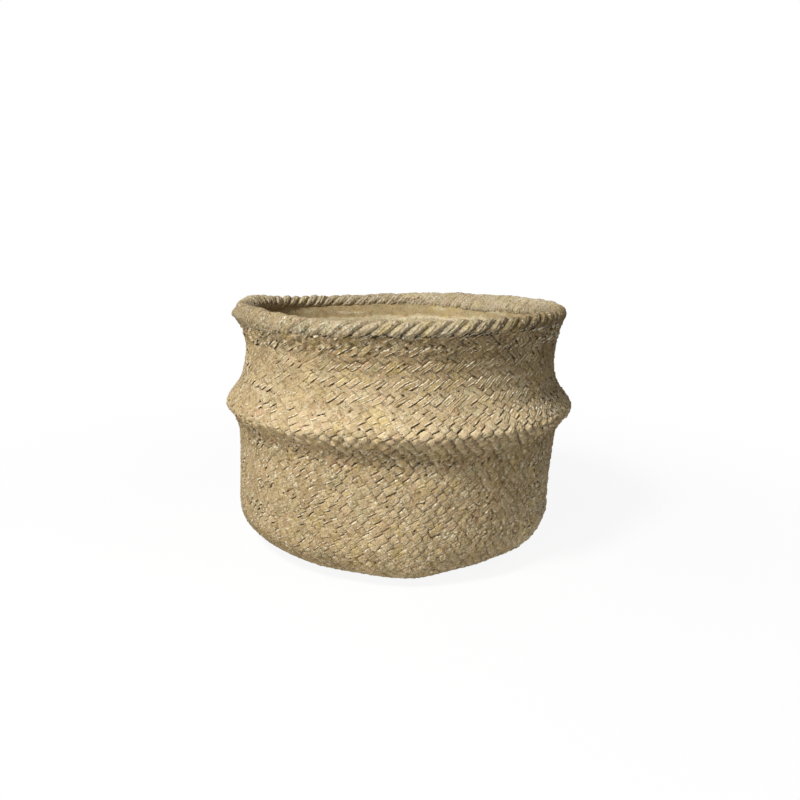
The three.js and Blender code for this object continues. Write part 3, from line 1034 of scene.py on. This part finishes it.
# Painted shade and painted light on the rope, in steps of tone: shade on its outer face at the right; light
# on its top at the right end, behind, at the left edge and on the slurry that runs down onto the inside
ropePaintedShadeAndLight = (
    {"by": -3.3, **ropePaintedShade},  # painted shade on the outer face only, so the top is given most of it back
    {"by": 2.31, **ropePaintedShade, **ropeTop},
    {"by": 1.3, "about": (106, 18), **ropeTop},
    {"by": 0.9, "behind": (100, 130)},
    {"by": 1.2, "about": ropeLeftEdge},
    {"by": 1.2, **ropeFill},
)
twist = {
    "uneven": {"wavelength": 90 * mm, "seed": 52, "by": 0.25},  # of the twist
    "wornPatches": {"wavelength": 60 * mm, "seed": 51, "by": 0.08},
    "leastCrisp": 0.1,
    "grooveSharpness": 2.6,
    "sunk": 0.3 * mm,  # how far a smeared rope lies below its full radius
    "yarnHeight": 0.09 * mm,
    "yarnWander": {"wavelength": 30 * mm, "seed": 57, "by": 2},
    "yarnShade": 0.12,
    "yarnShadeFrom": (0.3, 1),
    "skirtSide": (-60, 45),  # slurry down onto the wall
    "skirtHeight": 2.6 * mm,
    "grain": {"wavelength": 4 * mm, "seed": 53, "waves": 40, "by": 0.14 * mm},
    "lumps": {"wavelength": 26 * mm, "seed": 54, "by": 0.3 * mm},
    "lumpLength": 0.6,  # lumps are longer round the section, by one over this
    "pits": {"cell": 6 * mm, "smallest": 0.6 * mm, "largest": 1.5 * mm, "share": 0.45, "seed": 55},
    "pitDepth": 0.9 * mm,
    "pitShade": 0.8,
    "tones": (0.2, 0.9),
    "toneCount": 997,
    "toneSeed": 56,
    "tonesPerRadian": 11.5,
    # painted shade where slurry smears the rope at the left
    "smearPaintedShade": -2.2,
}


# The rope's section is a ring with a groove between each two strands, and the rows of the grid wind with the
# strands. Slurry fills the grooves where the twist is smeared, and lies in lumps on the rim.
def makeRope():
    around = np.linspace(0, fullTurn, rope["columns"], endpoint=False)[None, :]
    winding = np.linspace(0, fullTurn, rope["rows"], endpoint=False)[:, None]
    section = winding + rope["turns"] * around + rolling(around, 0, **twist["uneven"])
    degrees = np.degrees(section)
    girth = rope["radius"] * ((section + fullTurn / 4) % fullTurn)  # measured from the hidden underside
    angle = fromFront(around)
    rimSmear = smearedRim(angle)
    patches = rolling(around, 0, **twist["wornPatches"])
    crisp = 1 - rimSmear - allMarks(angle, degrees, ropeWear) + patches
    crisp = np.clip(crisp, twist["leastCrisp"], 1)

    spacing = fullTurn / rope["strands"]
    strand = np.round(winding / spacing)
    fromStrand = winding / spacing - strand
    groove = np.abs(2 * fromStrand) ** twist["grooveSharpness"]
    yarnWander = rolling(around, girth, **twist["yarnWander"])
    lines = np.cos(fullTurn * rope["fibreLines"] * fromStrand + yarnWander)
    strands = twist["sunk"] + twist["yarnHeight"] * lines - rope["grooveDepth"] * groove
    skirt = bell(degrees, *twist["skirtSide"]) * (1 - crisp) * (1 - bell(angle, *ropeLeftEnd))
    pits = bubbles(around, girth, **twist["pits"])
    reach = rope["radius"] - twist["sunk"] + strands * crisp
    reach = reach + rolling(around, girth, **twist["grain"])
    reach = reach + rolling(around, girth * twist["lumpLength"], **twist["lumps"])
    reach = reach + skirt * twist["skirtHeight"]
    reach = reach + allMarks(angle, degrees, ropeLumps) - pits * twist["pitDepth"]
    radius = ropeRing + reach * np.cos(section)
    height = shellLow.z + ropeHeight + reach * np.sin(section)
    points = settle(np.stack([radius * np.cos(around), radius * np.sin(around), height], axis=-1))
    mesh = gridMesh("twistedRim", points, closeRows=True, lengths=5)

    # Painted shade in the grooves between strands, between yarns and in pits
    yarnShade = twist["yarnShade"] * ease(-lines, *twist["yarnShadeFrom"])
    hollow = np.clip((groove + yarnShade) * crisp + twist["pitShade"] * pits, 0, 1)
    draw = np.random.default_rng(twist["toneSeed"])
    tones = draw.uniform(*twist["tones"], twist["toneCount"])
    stretch = np.floor(around * twist["tonesPerRadian"])
    tone = tones[(strand + stretch).astype(int) % len(tones)]
    # Painted shade and painted light added to the strands' random tone
    tone = tone + allMarks(angle, degrees, ropePaintedShadeAndLight) + twist["smearPaintedShade"] * rimSmear
    givePoints(mesh, hollow=hollow, rubbed=0 * hollow, fibre=fromStrand + 0.5 + 0 * around, tone=tone)
    addPiece(mesh, ropeCement, "pot", "rim_rope")
    print("rope rim:", rope["strands"], "strands,", rope["turns"], "turns")


# Plug: tapered shank, round-edged head and a button on a neck, all turned
plug = {
    "taper": 1.2 * mm,
    "headHeight": 4 * mm,
    "buttonRadius": 6 * mm,
    "buttonHeight": 7 * mm,
    "neckRadius": 4.2 * mm,
    "gap": 0.3 * mm,
    "domeFrom": -60,  # degrees up the button's side at which its neck meets it
    "spacing": 0.4 * mm,
    "easing": 3,
    "columns": 96,
}


def makePlug():
    shankTop = form["drainRadius"] - plug["gap"]
    headRadius = plugHigh.x
    headTop = plugHigh.z - plug["buttonHeight"]
    headBottom = headTop - plug["headHeight"]
    rounding = plug["headHeight"] / 2
    buttonMiddle = plugHigh.z - plug["buttonHeight"] / 2
    dome = arc((0, 0), 1, plug["domeFrom"], 90, 24)
    dome = dome * (plug["buttonRadius"], plug["buttonHeight"] / 2) + (0, buttonMiddle)
    outline = np.vstack([
        (0, plugLow.z),
        (shankTop - plug["taper"], plugLow.z),
        (shankTop, headBottom),
        arc((headRadius - rounding, headBottom + rounding), rounding, -90, 90, 24),
        (plug["neckRadius"], headTop),
        (plug["neckRadius"], dome[0][1]),
        dome,
    ])
    profile = evenly(outline, plug["spacing"], plug["easing"])[1]
    profile[[0, -1], 0] = 0
    mesh = turnedMesh("rubberPlug", profile, plug["columns"])
    addPiece(mesh, plugRubber, "plug", "drain_plug")
    print("plug made")


# Pads: flat discs with rounded edges and shallow rings moulded into the tread
pad = {
    "edge": 0.8 * mm,
    "grooveRadius": 6.5 * mm,  # of one ring, and the others are spaced from it
    "grooveSpacing": 3.6 * mm,
    "grooveWidth": 0.7 * mm,
    "grooveDepth": 0.3 * mm,
    "spacing": 0.3 * mm,
    "columns": 64,
}


def makePad(number):
    node = "foot_pad_%d" % number
    low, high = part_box(node)
    middle = (low + high) / 2
    radius = (high.x - low.x) / 2
    edge = pad["edge"]
    outline = np.vstack([
        (0, low.z),
        arc((radius - edge, low.z + edge), edge, -90, 0, 12),
        arc((radius - edge / 2, high.z - edge / 2), edge / 2, 0, 90, 8),
        (0, high.z),
    ])
    profile = evenly(outline, pad["spacing"])[1]
    profile[[0, -1], 0] = 0
    groove = bell(profile[:, 0], pad["grooveRadius"], pad["grooveWidth"], turn=pad["grooveSpacing"])
    profile[:, 1] += pad["grooveDepth"] * groove * (profile[:, 1] < middle.z)
    mesh = turnedMesh("rubberPad%d" % number, profile, pad["columns"])
    mesh.transform(Matrix.Translation((middle.x, middle.y, 0)))
    addPiece(mesh, padRubber, "pot", node)


makeOutside()
makeInside()
makeRope()
makePlug()
for number in range(1, 5):
    makePad(number)
print("pads made")


# Floor: a pale disc that shows white to the camera and keeps the pot's shadow
studio = {
    "floorRadius": 6.0,
    "floorColumns": 96,
    "floorGrey": 0.62,
    "shownGrey": 0.95,  # of the floor that carries the shadow
    "shadowShare": 0.09,  # how much of that floor the camera sees near the pot
    "shadowReach": (0.7, 0.2),  # distances at which the shadow starts and is full
    "skyLight": 0.1,
    "keyTurn": -38,  # degrees to the left of the camera
    "keyRise": 48,
    "keyDistance": 1.6,
    "keySize": 0.3,
    "keyPower": 24.5,
    "fillTurn": -25,
    "fillRise": 12,
    "fillDistance": 2.0,
    "fillSize": 0.7,
    "fillPower": 8,
    "sideTurn": 62,
    "sideRise": 52,
    "sideDistance": 2.0,
    "sideSize": 0.7,
    "sidePower": 3.0,
}


def grey(value):
    return (value, value, value, 1)


# 1 for rays that come from the camera, or by a mirror or glass
def seenDirectly(tree):
    light = addNode(tree, "LightPath").outputs
    rays = sums(tree, "MAXIMUM", light["Is Camera Ray"], light["Is Glossy Ray"])
    return sums(tree, "MAXIMUM", rays, light["Is Transmission Ray"])


def makeFloor():
    around = np.linspace(0, fullTurn, studio["floorColumns"], endpoint=False)
    radius = np.array([[0], [studio["floorRadius"]]])
    points = np.stack([radius * np.cos(around), radius * np.sin(around), 0 * radius * around], axis=-1)
    mesh = gridMesh("floor", points[::-1])
    floor = bpy.data.objects.new("floor", mesh)
    bpy.context.scene.collection.objects.link(floor)
    material = bpy.data.materials.new("paleFloor")
    material.use_nodes = True
    tree = material.node_tree
    tree.nodes.clear()
    matt = addNode(tree, "BsdfDiffuse", {"Color": grey(studio["floorGrey"])})
    shown = addNode(tree, "BsdfDiffuse", {"Color": grey(studio["shownGrey"])})
    white = addNode(tree, "Emission", {"Color": grey(1), "Strength": 1.0})
    place = addNode(tree, "TexCoord").outputs["Object"]
    away = addNode(tree, "VectorMath", {0: place}, operation="LENGTH").outputs["Value"]
    near = sums(tree, "MULTIPLY", between(tree, away, *studio["shadowReach"]), studio["shadowShare"])
    seen = addNode(tree, "MixShader", {0: near, 1: white.outputs[0], 2: shown.outputs[0]})
    mixed = addNode(tree, "MixShader", {0: seenDirectly(tree), 1: matt.outputs[0], 2: seen.outputs[0]})
    output = addNode(tree, "OutputMaterial")
    tree.links.new(mixed.outputs[0], output.inputs["Surface"])
    mesh.materials.append(material)


# Sky: white to the camera, and a soft even light on the pot
def makeSky():
    world = bpy.data.worlds.new("sky")
    bpy.context.scene.world = world
    world.use_nodes = True
    tree = world.node_tree
    tree.nodes.clear()
    soft = addNode(tree, "Background", {"Color": grey(1), "Strength": studio["skyLight"]})
    white = addNode(tree, "Background", {"Color": grey(1), "Strength": 1.0})
    mixed = addNode(tree, "MixShader", {0: seenDirectly(tree), 1: soft.outputs[0], 2: white.outputs[0]})
    output = addNode(tree, "OutputWorld")
    tree.links.new(mixed.outputs[0], output.inputs["Surface"])


# A square lamp that looks at the pot's middle from a turn and a rise, in degrees from the camera's side
def addLamp(name, turn, rise, distance, size, power):
    turn, rise = math.radians(turn), math.radians(rise)
    back = np.array([math.sin(turn) * math.cos(rise), -math.cos(turn) * math.cos(rise), math.sin(rise)])
    right = np.cross((0, 0, 1), back)
    right /= np.linalg.norm(right)
    place = back * distance + (0, 0, form["bellyHeight"])
    lamp = bpy.data.lights.new(name, "AREA")
    lamp.size = size
    lamp.energy = power
    lampObject = bpy.data.objects.new(name, lamp)
    axes = np.column_stack([right, np.cross(back, right), back, place])
    lampObject.matrix_world = Matrix([*axes.tolist(), [0, 0, 0, 1]])
    bpy.context.scene.collection.objects.link(lampObject)


# Camera that took the picture, from the outline of the pot in it
view = {
    "distance": 740 * mm,
    "height": 282.9 * mm,  # above the casting's foot
    "sideways": 2.8 * mm,
    "pitch": 12.014,  # degrees down
    "yaw": 0.229,
    "roll": 0.944,
    "lens": 35.894,  # in millimetres, as the sensor is
    "sensor": 36,
    "nearest": 0.01,
}


def makeCamera():
    pitch, yaw, roll = (math.radians(view[name]) for name in ("pitch", "yaw", "roll"))
    ahead = np.array([math.sin(yaw) * math.cos(pitch), math.cos(yaw) * math.cos(pitch), -math.sin(pitch)])
    level = np.array([math.cos(yaw), -math.sin(yaw), 0])
    upright = np.cross(level, ahead)
    right = math.cos(roll) * level + math.sin(roll) * upright
    up = math.cos(roll) * upright - math.sin(roll) * level
    place = np.array([view["sideways"], -view["distance"], shellLow.z + view["height"]])
    lens = bpy.data.cameras.new("camera")
    lens.sensor_width = view["sensor"]
    lens.lens = view["lens"]
    lens.clip_start = view["nearest"]
    camera = bpy.data.objects.new("camera", lens)
    axes = np.column_stack([right, up, -ahead, place])
    camera.matrix_world = Matrix([*axes.tolist(), [0, 0, 0, 1]])
    bpy.context.scene.collection.objects.link(camera)
    bpy.context.scene.camera = camera


makeFloor()
makeSky()
for lampName in ("key", "fill", "side"):
    values = [studio[lampName + part] for part in ("Turn", "Rise", "Distance", "Size", "Power")]
    addLamp(lampName, *values)
makeCamera()
bpy.context.scene.view_settings.view_transform = "Standard"
print("studio made")
